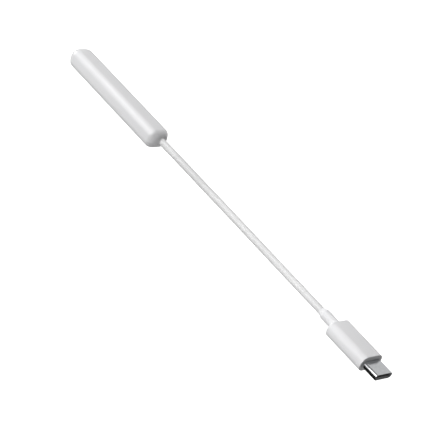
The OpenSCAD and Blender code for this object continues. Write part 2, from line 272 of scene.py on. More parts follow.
def bar(name, x0, x1, w, h, r, y=0.0, z=0.0, end0=(0, 0), end1=(0, 0), steps=12):
    """Bar along X with a rounded section; end0 and end1 say how far in and how deep its ends are rounded."""
    least = 0.02 * MM
    first, last = [], []
    for (reach, depth), at, sign, out in ((end0, x0, 1, first), (end1, x1, -1, last)):
        if reach <= 0:
            out.append((at, section(w, h, r, steps)))
            continue
        for i in range(steps + 1):
            a = math.radians(90 * i / steps)
            inset = min(reach * (1 - math.sin(a)), h / 2 - least)
            wide, high = w - 2 * inset, h - 2 * inset
            corner = r - inset if reach < r / 2 else min(r, 0.45 * high)
            out.append((at + sign * depth * (1 - math.cos(a)), section(wide, high, corner, steps)))
    rings = first + last[::-1]
    verts = [(x, y + py, z + pz) for x, ring in rings for py, pz in ring]
    return link_mesh(name, verts, skin(len(rings), len(rings[0][1])))


def lathe(name, profile, at, axis, steps=48):
    """Solid of revolution: profile is (along, radius) pairs, closed if it ends where it starts."""
    turn = {"X": (0, 1, 2), "Y": (2, 0, 1), "Z": (1, 2, 0)}[axis]
    closed = profile[0] == profile[-1]
    points = profile[:-1] if closed else profile
    verts = []
    for along, radius in points:
        for k in range(steps):
            a = math.tau * k / steps
            local = (along, radius * math.cos(a), radius * math.sin(a))
            verts.append(tuple(Vector(at) + Vector([local[turn[i]] for i in range(3)])))
    return link_mesh(name, verts, skin(len(points), steps, closed))


def rod(name, at, axis, radius, length, steps=48):
    """Plain round rod from the point at, along the axis."""
    return lathe(name, [(0, radius), (length, radius)], at, axis, steps)


def dome(height, radius, angles=(90, 70, 50, 30, 10), base=0.0):
    """Profile of a low dome over a round foot, for lathe."""
    return [(base + height * math.cos(a), radius * math.sin(a)) for a in map(math.radians, angles)]


def boxes(name, corners, round_by=0.0, segments=2):
    """One piece of separate boxes, each given by its two corners, with their edges rounded."""
    verts, faces = [], []
    for (x0, y0, z0), (x1, y1, z1) in corners:
        n = len(verts)
        verts += [(x, y, z) for x in (x0, x1) for y in (y0, y1) for z in (z0, z1)]
        faces += [(n, n + 1, n + 3, n + 2), (n + 4, n + 6, n + 7, n + 5), (n, n + 4, n + 5, n + 1),
                  (n + 2, n + 3, n + 7, n + 6), (n, n + 2, n + 6, n + 4), (n + 1, n + 5, n + 7, n + 3)]
    piece = link_mesh(name, verts, faces)
    return soften(piece, round_by, segments) if round_by else piece


def block(name, low, high, round_by=0.0, segments=2):
    return boxes(name, [(low, high)], round_by, segments)


def strip(name, path, thick, z0, z1):
    """Flat spring of even thickness, bent in plan along the (x, y) points of path, in metres."""
    verts, count = [], len(path)
    for i, (x, y) in enumerate(path):
        (xa, ya), (xb, yb) = path[max(i - 1, 0)], path[min(i + 1, count - 1)]
        along = Vector((xb - xa, yb - ya)).normalized()
        out = Vector((-along.y, along.x)) * thick / 2
        verts += [(x + s * out.x, y + s * out.y, z) for s in (1, -1) for z in (z0, z1)]
    faces = [(0, 1, 3, 2), tuple(4 * (count - 1) + k for k in (0, 2, 3, 1))]
    for i in range(count - 1):
        at = 4 * i
        faces += [(at + a, at + b, at + 4 + b, at + 4 + a) for a, b in ((0, 1), (1, 3), (3, 2), (2, 0))]
    return soften(link_mesh(name, verts, faces), thick / 5, 2, 60)


def bent(points, side, x, y=0.0):
    """Smooth path in plan, in metres, through (along, out) points in mm from (x, y)."""
    route = smooth_route([(along, out, 0) for along, out in points], 3)
    return [(x + p.x, y + side * p.y) for p in route]


def islands(node):
    """Low and high corners of each separate solid in a CAD node."""
    work = bmesh.new()
    work.from_mesh(NODES[node].data)
    bmesh.ops.remove_doubles(work, verts=work.verts, dist=1e-7)
    left, found = set(work.verts), []
    while left:
        todo = [left.pop()]
        group = list(todo)
        while todo:
            for edge in todo.pop().link_edges:
                for vert in edge.verts:
                    if vert in left:
                        left.discard(vert)
                        todo.append(vert)
                        group.append(vert)
        found.append([Vector(pick(v.co[i] for v in group) for i in range(3)) for pick in (min, max)])
    work.free()
    return sorted(found, key=lambda pair: tuple(round(v, 6) for v in pair[0]))


def wire(name, points, radius):
    """Round wire through the points, given in metres, as a mesh."""
    data = bpy.data.curves.new(name, "CURVE")
    data.dimensions = "3D"
    data.bevel_depth = radius
    data.bevel_resolution = 4
    data.use_fill_caps = True
    spline = data.splines.new("BEZIER")
    spline.bezier_points.add(len(points) - 1)
    for point, at in zip(spline.bezier_points, points):
        point.co = at
        point.handle_left_type = point.handle_right_type = "AUTO"
    curve = bpy.data.objects.new(name, data)
    bpy.context.collection.objects.link(curve)
    graph = bpy.context.evaluated_depsgraph_get()
    mesh = bpy.data.meshes.new_from_object(curve.evaluated_get(graph))
    bpy.data.objects.remove(curve)
    piece = bpy.data.objects.new(name, mesh)
    bpy.context.collection.objects.link(piece)
    tidy(piece)
    return piece


def painted(piece, material):
    piece.data.materials.clear()
    piece.data.materials.append(material)
    return piece


def stand_for(piece, node, body="receiver"):
    """The piece is shown in place of a CAD node, and takes its body."""
    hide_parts(node)
    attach(piece, body)
    return piece


# ---- materials ----

class Nodes:
    """Short way to build a node tree."""

    def __init__(self, name):
        self.material = bpy.data.materials.new(name)
        self.material.use_nodes = True
        self.tree = self.material.node_tree
        self.shader = self.tree.nodes["Principled BSDF"]

    def add(self, kind, values=(), **settings):
        node = self.tree.nodes.new(kind)
        for key, value in settings.items():
            setattr(node, key, value)
        for key, value in dict(values).items():
            if isinstance(value, bpy.types.NodeSocket):
                self.tree.links.new(value, node.inputs[key])
            else:
                node.inputs[key].default_value = value
        return node

    def set(self, **values):
        """Values of the shader's sockets, with _ for a space in their names."""
        for key, value in values.items():
            socket = self.shader.inputs[key.replace("_", " ")]
            if isinstance(value, bpy.types.NodeSocket):
                self.tree.links.new(value, socket)
            else:
                socket.default_value = value

    def place(self):
        return self.add("ShaderNodeTexCoord").outputs["Object"]

    def noise(self, scale, detail, where=None):
        values = {"Vector": where or self.place(), "Scale": scale, "Detail": detail}
        return self.add("ShaderNodeTexNoise", values).outputs["Fac"]

    def spread(self, value, low, high):
        """Noise, which mostly lies between 0.3 and 0.7, spread from low to high."""
        node = self.add("ShaderNodeMapRange", {"Value": value, "From Min": 0.3, "From Max": 0.7,
                                               "To Min": low, "To Max": high})
        return node.outputs["Result"]

    def blend(self, fac, a, b):
        node = self.add("ShaderNodeMix", data_type="RGBA")
        for socket, value in zip((node.inputs[0], node.inputs[6], node.inputs[7]), (fac, a, b)):
            if isinstance(value, bpy.types.NodeSocket):
                self.tree.links.new(value, socket)
            else:
                socket.default_value = value
        return node.outputs[2]

    def bump(self, height, distance, strength, under=None):
        values = {"Height": height, "Distance": distance, "Strength": strength}
        if under:
            values["Normal"] = under
        return self.add("ShaderNodeBump", values).outputs["Normal"]


def grey(v):
    return (v, v, v, 1)


def darker(colour, part):
    return tuple(c * (1 - part) for c in colour[:3]) + (1,)


def moulded_plastic(name, colour, rough=0.3, grain=9000, depth=0.0015, vary=0.02, coat=0.0):
    """Moulded plastic: fine spark grain, slight waviness, faint mottling and handling marks in its gloss."""
    n = Nodes(name)
    fine = n.noise(grain, 2)
    wide = n.noise(160, 2)
    cloud = n.noise(60, 3)
    n.set(Base_Color=n.blend(n.spread(cloud, 0, 1), colour, darker(colour, vary)))
    n.set(Roughness=n.spread(n.noise(420, 4), rough * 0.9, rough * 1.12))
    n.set(Coat_Weight=coat, Coat_Roughness=0.06)
    n.set(Normal=n.bump(fine, depth * MM, 0.6, n.bump(wide, 0.012 * MM, 0.25)))
    return n.material


def jacket(name, colour, rough=0.36):
    """Extruded cable jacket: long faint draw lines, soft mottling."""
    n = Nodes(name)
    stretched = n.add("ShaderNodeMapping", {"Vector": n.place(), "Scale": (0.04, 1, 1)}).outputs["Vector"]
    lines = n.noise(9000, 2, stretched)
    mottle = n.noise(300, 3)
    n.set(Base_Color=n.blend(n.spread(mottle, 0, 1), colour, darker(colour, 0.02)))
    n.set(Roughness=n.spread(n.noise(900, 3), rough * 0.88, rough * 1.15))
    n.set(Normal=n.bump(lines, 0.0008 * MM, 0.5, n.bump(n.noise(7000, 2), 0.0015 * MM, 0.5)))
    return n.material


def metal(name, colour, rough=0.25, brush=(0.03, 1, 1), scale=16000, depth=0.0012):
    """Metal with fine drawing lines along one axis and uneven polish."""
    n = Nodes(name)
    stretched = n.add("ShaderNodeMapping", {"Vector": n.place(), "Scale": brush}).outputs["Vector"]
    lines = n.noise(scale, 3, stretched)
    smear = n.noise(700, 4)
    n.set(Metallic=1.0, Base_Color=n.blend(n.spread(smear, 0, 1), colour, darker(colour, 0.1)))
    n.set(Roughness=n.spread(lines, rough * 0.8, rough * 1.3))
    n.set(Normal=n.bump(lines, depth * MM, 0.5))
    return n.material


def solder_mask(name):
    """Green board: tracks under the mask and a few tinned vias on its faces, bare laminate on its edge."""
    n = Nodes(name)
    where = n.place()
    tracks = n.add("ShaderNodeTexBrick", {
        "Vector": where, "Scale": 900.0, "Mortar Size": 0.12, "Mortar Smooth": 0.1, "Brick Width": 0.9,
        "Row Height": 0.45, "Color1": (0, 0, 0, 1), "Color2": (0, 0, 0, 1), "Mortar": (1, 1, 1, 1)})
    tracks.offset = 0.37
    tracks.squash = 0.6
    vias = n.add("ShaderNodeTexVoronoi", {"Vector": where, "Scale": 650.0}).outputs["Distance"]
    hole = n.add("ShaderNodeMath", {0: vias, 1: 0.16}, operation="LESS_THAN").outputs[0]
    normal = n.add("ShaderNodeNewGeometry").outputs["Normal"]
    upright = n.add("ShaderNodeSeparateXYZ", {"Vector": normal}).outputs["Z"]
    tilt = n.add("ShaderNodeMath", {0: upright}, operation="ABSOLUTE").outputs[0]
    flat = n.add("ShaderNodeMath", {0: tilt, 1: 0.5}, operation="GREATER_THAN").outputs[0]
    green, bright = (0.012, 0.085, 0.035, 1), (0.018, 0.125, 0.05, 1)
    solder, laminate = (0.62, 0.6, 0.52, 1), (0.36, 0.33, 0.16, 1)
    masked = n.blend(hole, n.blend(tracks.outputs["Fac"], green, bright), solder)
    tinned = n.add("ShaderNodeMath", {0: hole, 1: flat}, operation="MULTIPLY").outputs[0]
    n.set(Base_Color=n.blend(flat, laminate, masked), Metallic=tinned)
    n.set(Roughness=n.spread(n.noise(2500, 2), 0.28, 0.42), Coat_Weight=0.3, Coat_Roughness=0.2)
    n.set(Normal=n.bump(tracks.outputs["Fac"], 0.012 * MM, 0.8))
    return n.material


def sandy(name, dark, light):
    """Matt, sandy and slightly uneven, as a chip's package, a ferrite and a fired ceramic are."""
    n = Nodes(name)
    speck = n.noise(14000, 4)
    n.set(Base_Color=n.blend(n.spread(n.noise(1500, 3), 0, 1), dark, light))
    n.set(Roughness=n.spread(speck, 0.55, 0.75), Normal=n.bump(speck, 0.004 * MM, 0.7))
    return n.material


def clear_acrylic(name):
    n = Nodes(name)
    n.set(Base_Color=(0.93, 0.96, 0.98, 1), Transmission_Weight=0.9, IOR=1.49)
    n.set(Roughness=n.spread(n.noise(1800, 3), 0.04, 0.14))
    return n.material


shell_white = moulded_plastic("shell_white", (0.80, 0.80, 0.81, 1), rough=0.45, coat=1.0)
button_white = moulded_plastic("button_white", (0.78, 0.78, 0.79, 1), rough=0.4, grain=12000, depth=0.001,
                               coat=1.0)
grip_white = moulded_plastic("grip_white", (0.82, 0.82, 0.83, 1), rough=0.45, grain=10000)
jacket_white = jacket("jacket_white", (0.78, 0.78, 0.78, 1))
gland_white = moulded_plastic("gland_white", (0.74, 0.74, 0.72, 1), rough=0.55, grain=4000, depth=0.004)
mould_cream = moulded_plastic("mould_cream", (0.70, 0.67, 0.58, 1), rough=0.5, grain=3500, depth=0.005,
                              vary=0.06)
carbon_black = moulded_plastic("carbon_black", (0.012, 0.012, 0.013, 1), rough=0.42, grain=8000, depth=0.003)
carrier_grey = moulded_plastic("carrier_grey", (0.42, 0.42, 0.43, 1), rough=0.35, grain=8000, depth=0.003)
nylon_grey = moulded_plastic("nylon_grey", (0.10, 0.10, 0.11, 1), rough=0.5, grain=6000, depth=0.003)
ivory = moulded_plastic("ivory", (0.80, 0.74, 0.48, 1), rough=0.35, grain=8000)
red_pvc = jacket("red_pvc", (0.50, 0.02, 0.015, 1), rough=0.3)
black_pvc = jacket("black_pvc", (0.02, 0.02, 0.02, 1), rough=0.3)
plug_steel = metal("plug_steel", (0.77, 0.78, 0.80, 1), rough=0.18, depth=0.0006)
can_steel = metal("can_steel", (0.62, 0.61, 0.58, 1), rough=0.34, brush=(1, 0.03, 1))
nickel = metal("nickel", (0.78, 0.77, 0.74, 1), rough=0.14, brush=(1, 1, 1), scale=9000, depth=0.0006)
spring_metal = metal("spring_metal", (0.60, 0.59, 0.57, 1), rough=0.28)
gold = metal("gold", (0.85, 0.60, 0.22, 1), rough=0.2, scale=12000)
tin = metal("tin", (0.72, 0.71, 0.68, 1), rough=0.35, brush=(1, 1, 1), scale=5000, depth=0.004)
board_green = solder_mask("board_green")
chip_black = sandy("chip_black", grey(0.018), grey(0.0306))
ferrite = sandy("ferrite", grey(0.05), grey(0.085))
ceramic_tan = sandy("ceramic_tan", (0.36, 0.23, 0.12, 1), (0.46, 0.31, 0.17, 1))
ceramic_white = moulded_plastic("ceramic_white", (0.66, 0.69, 0.72, 1), rough=0.4, grain=9000, vary=0.05)
acrylic = clear_acrylic("acrylic")


# ---- sizes that the receiver's pieces share ----

SIDES = (-1, 1)
EDGE_R = 2.6 * MM                 # the bar's long edges
DOME_L = 3.4 * MM                 # how deep its ends are rounded
HALF_L = 27.75 * MM               # half the length of the bar, its rounded ends included
WALL = 0.9 * MM
END_WALL = 2.2 * MM
SEAM = 0.05 * MM                  # gap between neighbouring pieces
SHY = 0.004 * MM                  # keeps one material's faces off the faces of the next
RIB_T = 0.8 * MM
GLAND_RIB_X, GLAND_RIB_Y = mm(22.1, 2.3)
BUTTON_L, BUTTON_H, BUTTON_GAP = mm(6.0, 2.2, 0.12)
FLANGE_T = 0.5 * MM
LAMP_R = 0.6 * MM
BORE_R = 1.8 * MM
# Each pair of socket leaves, in mm: where its tips are, how far its foot is above the bore's middle, and how
# far past the board's end its tails are
LEAVES = ((-22, 0.1, 1.4), (-15.8, -0.6, 0.7))

bar_size, MID_Z = size_of("upper_housing"), mid_of("upper_housing").z
cover_size = size_of("bottom_cover")
collar_size = size_of("socket_collar")
pipe_size, pipe_mid = size_of("light_pipe"), mid_of("light_pipe")
socket_low, socket_high = corners("socket_body")
socket_size, socket_mid = size_of("socket_body"), mid_of("socket_body")
board_low, board_high = corners("main_board")
COVER_T = socket_low.z


# ---- the casing ----

def pill(name, z, l, h, y0, y1, end=0.0, dish=0.0):
    """Stadium plate in the side wall, from y0 out to y1, with its outer edge rounded and its face dished."""
    turns = [math.radians(15 * i) for i in range(7)] if end else [0]
    rings = [(y0, 0)] + [(y1 - end * (1 - math.sin(a)), end * (1 - math.cos(a))) for a in turns]
    if dish:
        left, count = h / 2 - end, 6
        rings += [(y1 - dish * (1 - (1 - k / count) ** 2), end + left * k / (count + 0.2))
                  for k in range(1, count + 1)]
    verts = []
    for y, inset in rings:
        verts += [(a, y, z + b) for a, b in section(l - 2 * inset, h - 2 * inset, h / 2 - inset)]
    return link_mesh(name, verts, skin(len(rings), len(verts) // len(rings)))


def make_housing():
    w, h = bar_size.y, bar_size.z
    dome_end = (h / 2, DOME_L)
    shell = bar("housing_shell", -HALF_L, HALF_L, w, h, EDGE_R, 0, MID_Z, dome_end, dome_end, 16)
    room = bar("room", -HALF_L + END_WALL, HALF_L - END_WALL, w - 2 * WALL, h - 2 * WALL,
               EDGE_R - WALL, 0, MID_Z, steps=8)
    opening = block("opening", *span(about(0, cover_size.x / 2 + SEAM), about(0, cover_size.y / 2 + SEAM),
                                     (-OVER, MID_Z / 2)))
    through, lead_at = END_WALL + 2 * OVER, Vector(LEAD_ROUTE[0]) * MM
    socket = rod("socket_hole", (-HALF_L - OVER, 0, MID_Z), "X", collar_size.y / 2 + SEAM, through)
    outlet = rod("outlet", (HALF_L - END_WALL - OVER, lead_at.y, lead_at.z), "X", LEAD_D / 2 + SEAM, through)
    press = pill("press_hole", MID_Z, BUTTON_L + 2 * BUTTON_GAP, BUTTON_H + 2 * BUTTON_GAP,
                 w / 2 - WALL - OVER, w / 2 + OVER)
    lamp = rod("lamp_hole", (pipe_mid.x, w / 2 - WALL - OVER, pipe_mid.z), "Y", LAMP_R + SEAM, 3 * OVER)
    cut(shell, room, opening, socket, outlet, press, lamp)
    soften(shell, 0.06 * MM, 2, 50)
    # Each pair of ribs: its place along the bar, its inner face and its foot
    pairs = (mm(-10.4, 2.95, 3.0), mm(16.6, 2.95, 3.0), (GLAND_RIB_X, GLAND_RIB_Y, 1.9 * MM))
    outer, top = mm(3.72, 5.8)
    ribs = [block("rib", *span((x, x + RIB_T), (s * inner, s * outer), (foot, top)), 0.1 * MM)
            for x, inner, foot in pairs for s in SIDES]
    whole = join("receiver_housing", *(painted(part, shell_white) for part in (shell, *ribs)))
    return stand_for(whole, "upper_housing")


def make_bottom_cover():
    low, high = corners("bottom_cover")
    plate = bar("plate", low.x, high.x, bar_size.y, bar_size.z, EDGE_R, 0, MID_Z, steps=16)
    cut(plate, block("limit", (low.x - OVER, low.y, -OVER), (high.x + OVER, high.y, COVER_T)),
        action="INTERSECT")
    soften(plate, 0.13 * MM, 3, 30)
    post_w, hook_l, hook_t, hook_h, hook_y, sunk = mm(5, 3, 0.5, 0.6, 3.15, 0.1)
    root = COVER_T - sunk
    posts = [span((x, x + RIB_T), about(0, post_w / 2), (root, board_low.z))
             for x in mm(-10.8, -5, 6.2, 16.6)]
    hooks = [span((x, x + hook_l), about(s * hook_y, hook_t / 2), (root, COVER_T + hook_h))
             for x in mm(-8, 9) for s in SIDES]
    inside = boxes("inside", posts + hooks, 0.08 * MM)
    whole = join("bottom_cover_skin", painted(plate, shell_white), painted(inside, shell_white))
    return stand_for(whole, "bottom_cover")


def make_button():
    low, high = corners("pairing_button")
    z = mid_of("pairing_button").z
    stem_deep, stem_half_l, stem_half_h, sunk = mm(0.3, 0.6, 0.5, 0.1)
    rim_y = low.y + stem_deep
    flange_y = rim_y + FLANGE_T
    cap = pill("cap", z, BUTTON_L, BUTTON_H, flange_y - sunk, high.y, end=0.26 * MM, dish=0.07 * MM)
    flange = pill("flange", z, BUTTON_L + 2 * FLANGE_T, BUTTON_H + FLANGE_T, rim_y, flange_y, end=0.08 * MM)
    stem = block("stem", *span(about(0, stem_half_l), (low.y, rim_y + sunk), about(z, stem_half_h)),
                 0.06 * MM)
    whole = join("button_cap", *(painted(part, button_white) for part in (cap, flange, stem)))
    return stand_for(whole, "pairing_button", "button")


def make_light_pipe():
    rim, deep = pipe_size.x / 2, pipe_size.y
    rim_deep, lip, lip_deep, dome_h = mm(0.13, 0.04, 0.03, 0.12)
    profile = [(0, rim - lip), (lip_deep, rim), (rim_deep, rim), (rim_deep, LAMP_R)]
    profile += dome(dome_h, LAMP_R, base=deep - dome_h)
    piece = lathe("lamp_window", profile, (pipe_mid.x, pipe_mid.y - deep / 2, pipe_mid.z), "Y")
    return stand_for(painted(piece, acrylic), "light_pipe")


def make_gland():
    low, high = corners("cable_gland")
    size, mid = size_of("cable_gland"), mid_of("cable_gland")
    edge = mm(0.2, 0.2)
    ridge_l, ridge_deep = mm(0.35, 0.12)
    body = bar("gland", low.x, high.x, size.y, size.z, 1 * MM, mid.y, mid.z, edge, edge, 8)
    grooves = [block("groove", *span(past(GLAND_RIB_X, GLAND_RIB_X + RIB_T, SEAM),
                                     (s * (GLAND_RIB_Y - SEAM), s * (high.y + OVER)), past(low.z, high.z)))
               for s in SIDES]
    ridges = [block("ridge", *span((x, x + ridge_l), past(low.y, high.y), about(z, ridge_deep)))
              for x in mm(20.9, 23.6, 24.4) for z in (low.z, high.z)]
    cut(body, *grooves, *ridges)
    soften(body, 0.06 * MM, 2, 50)
    return stand_for(painted(body, gland_white), "cable_gland")


# ---- the headphone socket ----

def make_collar():
    r, deep, x0 = collar_size.y / 2, collar_size.x, corners("socket_collar")[0].x
    hole, lip, bevel = mm(1.9, 0.13, 0.3)
    profile = [(deep, hole), (bevel, hole), (bevel * 0.35, hole + bevel * 0.4), (0, hole + bevel),
               (0, r - lip), (lip * 0.3, r - lip * 0.3), (lip, r), (deep, r), (deep, hole)]
    piece = lathe("socket_ring", profile, (x0, 0, MID_Z), "X", 96)
    return stand_for(painted(piece, nickel), "socket_collar")


def make_socket_body():
    low, high, mid_z = socket_low, socket_high, socket_mid.z
    edge, lead_in = mm(0.15, 0.15), 0.25 * MM
    slot_in, slot_out, slot_half, window_in, window_out, window_half, window_l = mm(
        2.3, 4.3, 0.7, 1.5, 2.4, 0.6, 1.6)
    body = bar("socket_moulding", low.x, high.x, socket_size.y, socket_size.z, 1.2 * MM, 0, mid_z,
               edge, edge, 8)
    bore = lathe("bore", [(-OVER, BORE_R + lead_in), (0, BORE_R + lead_in), (lead_in, BORE_R),
                          (socket_size.x + OVER, BORE_R)], (low.x, 0, mid_z), "X", 64)
    places = [(pair[0] * MM, s) for pair in LEAVES for s in SIDES]
    slots = [block("slot", *span((x, high.x + OVER), (s * slot_in, s * slot_out), about(mid_z, slot_half)))
             for x, s in places]
    windows = [block("window", *span((x, x + window_l), (s * window_in, s * window_out),
                                     about(mid_z, window_half))) for x, s in places]
    cut(body, bore, *slots, *windows)
    soften(body, 0.05 * MM, 2, 50)
    return stand_for(painted(body, carbon_black), "socket_body")


def make_socket_contacts():
    """Two pairs of leaves beside the bore, each bowed in towards it, with a tail down to the board."""
    thick, tall, tail_l, flat_y = mm(0.25, 0.5, 0.5, 2.475)
    bow = [(2.2, 2.475), (1.5, 2.42), (0.8, 2.07), (0.4, 2.2), (0.15, 2.4)]
    leaves = []
    for x, z, tail in LEAVES:
        z0, end = socket_mid.z + z * MM, board_low.x + tail * MM
        flat = (end / MM - x, flat_y / MM)
        for s in SIDES:
            leaves.append(strip("leaf", bent([flat] + bow, s, x * MM), thick, z0, z0 + tall))
            leaves.append(block("tail", *span((end - tail_l, end), about(s * flat_y, thick / 2),
                                              (board_high.z, z0 + tall / 2)), 0.04 * MM))
    whole = join("socket_leaves", *(painted(part, gold) for part in leaves))
    return stand_for(whole, "socket_contacts")


# ---- the circuit board and what is soldered to it ----

def make_board():
    notch_x, notch_y, peg_r, peg_y, peg_near, peg_far = mm(4.0, 1.9, 0.35, 2.5, 3.6, 4.9)
    plate = block("board_plate", board_low, board_high)
    notch = block("notch", *span(about(0, notch_x), (notch_y, board_high.y + OVER),
                                 past(board_low.z, board_high.z)))
    holes = [rod("peg_hole", (x, s * peg_y, board_low.z - OVER), "Z", peg_r, 4 * OVER, 24)
             for x in (board_low.x + peg_near, board_high.x - peg_far) for s in SIDES]
    cut(plate, notch, *holes)
    soften(plate, 0.04 * MM, 2, 60)
    return stand_for(painted(plate, board_green), "main_board")


def quad_pack(name, node, pads):
    """Flat leadless chip: moulded body with a pin-one dimple, and tinned pads round its foot."""
    low, high = corners(node)
    size, mid = size_of(node), mid_of(node)
    skirt, foot, deep, corner, dimple_in, dimple_r, dimple_deep = mm(0.04, 0.16, 0.3, 0.4, 0.55, 0.18, 0.03)
    body = block("body", low + Vector((skirt,) * 3), high - Vector((skirt, skirt, 0)), 0.05 * MM)
    dimple_at = (low.x + dimple_in, high.y - dimple_in, high.z - dimple_deep)
    cut(body, rod("dimple", dimple_at, "Z", dimple_r, OVER, 24))
    step = (size.x - 2 * corner) / (pads - 1)
    half, rise = 0.28 * step, (low.z, low.z + foot)
    feet = []
    for k in range(pads):
        at = corner - size.x / 2 + k * step
        for s in SIDES:
            edge = mid + s * size / 2
            feet.append(span((edge.x - s * deep, edge.x), about(mid.y + at, half), rise))
            feet.append(span(about(mid.x + at, half), (edge.y - s * deep, edge.y), rise))
    whole = join(name, painted(body, chip_black), painted(boxes("feet", feet), tin))
    return stand_for(whole, node)


def make_regulator():
    low, high = corners("voltage_regulator")
    body_l, lift, leg_l, leg_w, leg_t, leg_h, sunk, leg_near, leg_far = mm(
        1.6, 0.1, 0.35, 0.4, 0.12, 0.5, 0.1, 0.25, 0.7)
    x0, x1 = low.x + leg_l, low.x + leg_l + body_l
    body = block("body", (x0, low.y, low.z + lift), (x1, high.y, high.z), 0.09 * MM)
    legs = []
    for y in (low.y + leg_near, high.y - leg_far):
        for edge, s in ((x0, -1), (x1, 1)):
            legs.append(span((edge, edge + s * leg_l), (y, y + leg_w), (low.z, low.z + leg_t)))
            legs.append(span((edge - s * sunk, edge + s * leg_t), (y, y + leg_w), (low.z, low.z + leg_h)))
    whole = join("regulator", painted(body, chip_black), painted(boxes("legs", legs, 0.03 * MM), tin))
    return stand_for(whole, "voltage_regulator")


def end_capped(name, node, body_material, top_material=None):
    """Two-terminal chips: a ceramic body between tinned ends, with a glassy top if there is one."""
    shy, top_t = mm(0.015, 0.02)
    bodies, tops, ends = [], [], []
    for low, high in islands(node):
        size = high - low
        axis = 0 if size.x > size.y else 1
        cap = size[axis] * 0.24
        near, far = high.copy(), low.copy()
        near[axis], far[axis] = low[axis] + cap, high[axis] - cap
        ends += [(low, near), (far, high)]
        inner_low, inner_high = low + Vector((shy,) * 3), high - Vector((shy,) * 3)
        bodies.append((inner_low, inner_high))
        if top_material:
            near, far = inner_low.copy(), high.copy()
            near[axis] += cap * 1.1
            far[axis] -= cap * 1.1 + shy
            near.z = inner_high.z - top_t
            tops.append((near, far))
    parts = [painted(boxes("bodies", bodies, 0.03 * MM), body_material),
             painted(boxes("ends", ends, 0.06 * MM, 3), tin)]
    if tops:
        parts.append(painted(boxes("tops", tops), top_material))
    return stand_for(join(name, *parts), node)


def make_inductor():
    low, high = corners("power_inductor")
    mid = mid_of("power_inductor")
    foot_h, foot_w, coil_r, coil_t = mm(0.2, 0.3, 0.55, 0.02)
    core = block("core", (low.x + SHY, low.y + SHY, low.z + foot_h / 2), (high.x - SHY, high.y - SHY, high.z),
                 0.18 * MM)
    plates = boxes("plates", [span((low.x, high.x), (y, y + s * foot_w), (low.z, low.z + foot_h))
                              for y, s in ((low.y, 1), (high.y, -1))], 0.04 * MM)
    coil = rod("coil", (mid.x, mid.y, high.z - coil_t), "Z", coil_r, coil_t, 32)
    whole = join("inductor", painted(core, ferrite), painted(plates, tin), painted(coil, chip_black))
    return stand_for(whole, "power_inductor")


def make_antenna():
    """Ceramic chip with tinned ends and a printed line that runs to and fro across its top."""
    low, high = corners("chip_antenna")
    cap, line, line_t, margin, under, runs = *mm(0.35, 0.14, 0.04, 0.2, 0.03), 7
    body = block("body", low + Vector((SHY,) * 3), high - Vector((SHY, SHY, under)), 0.05 * MM)
    ends = [(low, (high.x, low.y + cap, high.z)), ((low.x, high.y - cap, low.z), high)]
    pitch = (high.y - low.y - 2 * cap - line) / (runs - 1)
    left, right, top = low.x + margin, high.x - margin, high.z - line_t
    turns = []
    for k in range(runs):
        y = low.y + cap + k * pitch
        turns.append(((left, y, top), (right, y + line, high.z)))
        if k < runs - 1:
            x = right - line if k % 2 else left
            turns.append(((x + SHY, y + SHY, top + SHY), (x + line - SHY, y + pitch + SHY, high.z - SHY)))
    whole = join("antenna", painted(body, ceramic_white), painted(boxes("ends", ends, 0.05 * MM), tin),
                 painted(boxes("turns", turns), tin))
    return stand_for(whole, "chip_antenna")


def make_shield():
    low, high = corners("rf_shield")
    mid = mid_of("rf_shield")
    wall, vent_r, notch_l, notch_h, hair = mm(0.2, 0.28, 0.9, 0.3, 0.001)
    can = block("can", low, high, 0.3 * MM, 3)
    room = block("room", low + Vector((wall, wall, -OVER)), high - Vector((wall,) * 3))
    trim = block("trim", *span(past(low.x, high.x), past(low.y, high.y), (low.z - OVER, low.z + hair)))
    vents = [rod("vent", (mid.x + x, mid.y + y, high.z - OVER), "Z", vent_r, 3 * OVER, 24)
             for x in mm(-2.4, -0.8, 0.8, 2.4) for y in mm(-1.3, 1.3)]
    notches = [block("notch", *span((mid.x + x, mid.x + x + notch_l), past(low.y, high.y),
                                    (low.z - OVER, low.z + notch_h))) for x in mm(-2.8, -0.45, 1.9)]
    cut(can, room, trim, *vents, *notches)
    return stand_for(painted(can, can_steel), "rf_shield")


def make_crystal():
    low, high = corners("clock_crystal")
    base_h, lid_foot, step = mm(0.2, 0.16, 0.1)
    base = block("base", low, (high.x, high.y, low.z + base_h), 0.04 * MM)
    lid = block("lid", low + Vector((step, step, lid_foot)), high - Vector((step, step, 0)), 0.1 * MM, 3)
    return stand_for(join("crystal", painted(base, ceramic_white), painted(lid, can_steel)), "clock_crystal")


def make_led():
    low, high = corners("status_led")
    mid = mid_of("status_led")
    end_l, lap, end_in, end_down, lens_h, lens_r = mm(0.3, 0.05, 0.2, 0.1, 0.12, 0.36)
    body = block("body", (low.x + end_l - lap, low.y + SHY, low.z + SHY),
                 (high.x - end_l + lap, high.y - lens_h, high.z), 0.05 * MM)
    ends = boxes("ends", [span((x, x + s * end_l), (low.y, high.y - end_in), (low.z, high.z - end_down))
                          for x, s in ((low.x, 1), (high.x, -1))], 0.04 * MM)
    lens = lathe("lens", dome(lens_h, lens_r), (mid.x, high.y - lens_h, mid.z), "Y", 32)
    whole = join("lamp", painted(body, ceramic_white), painted(ends, tin), painted(lens, ivory))
    return stand_for(whole, "status_led")


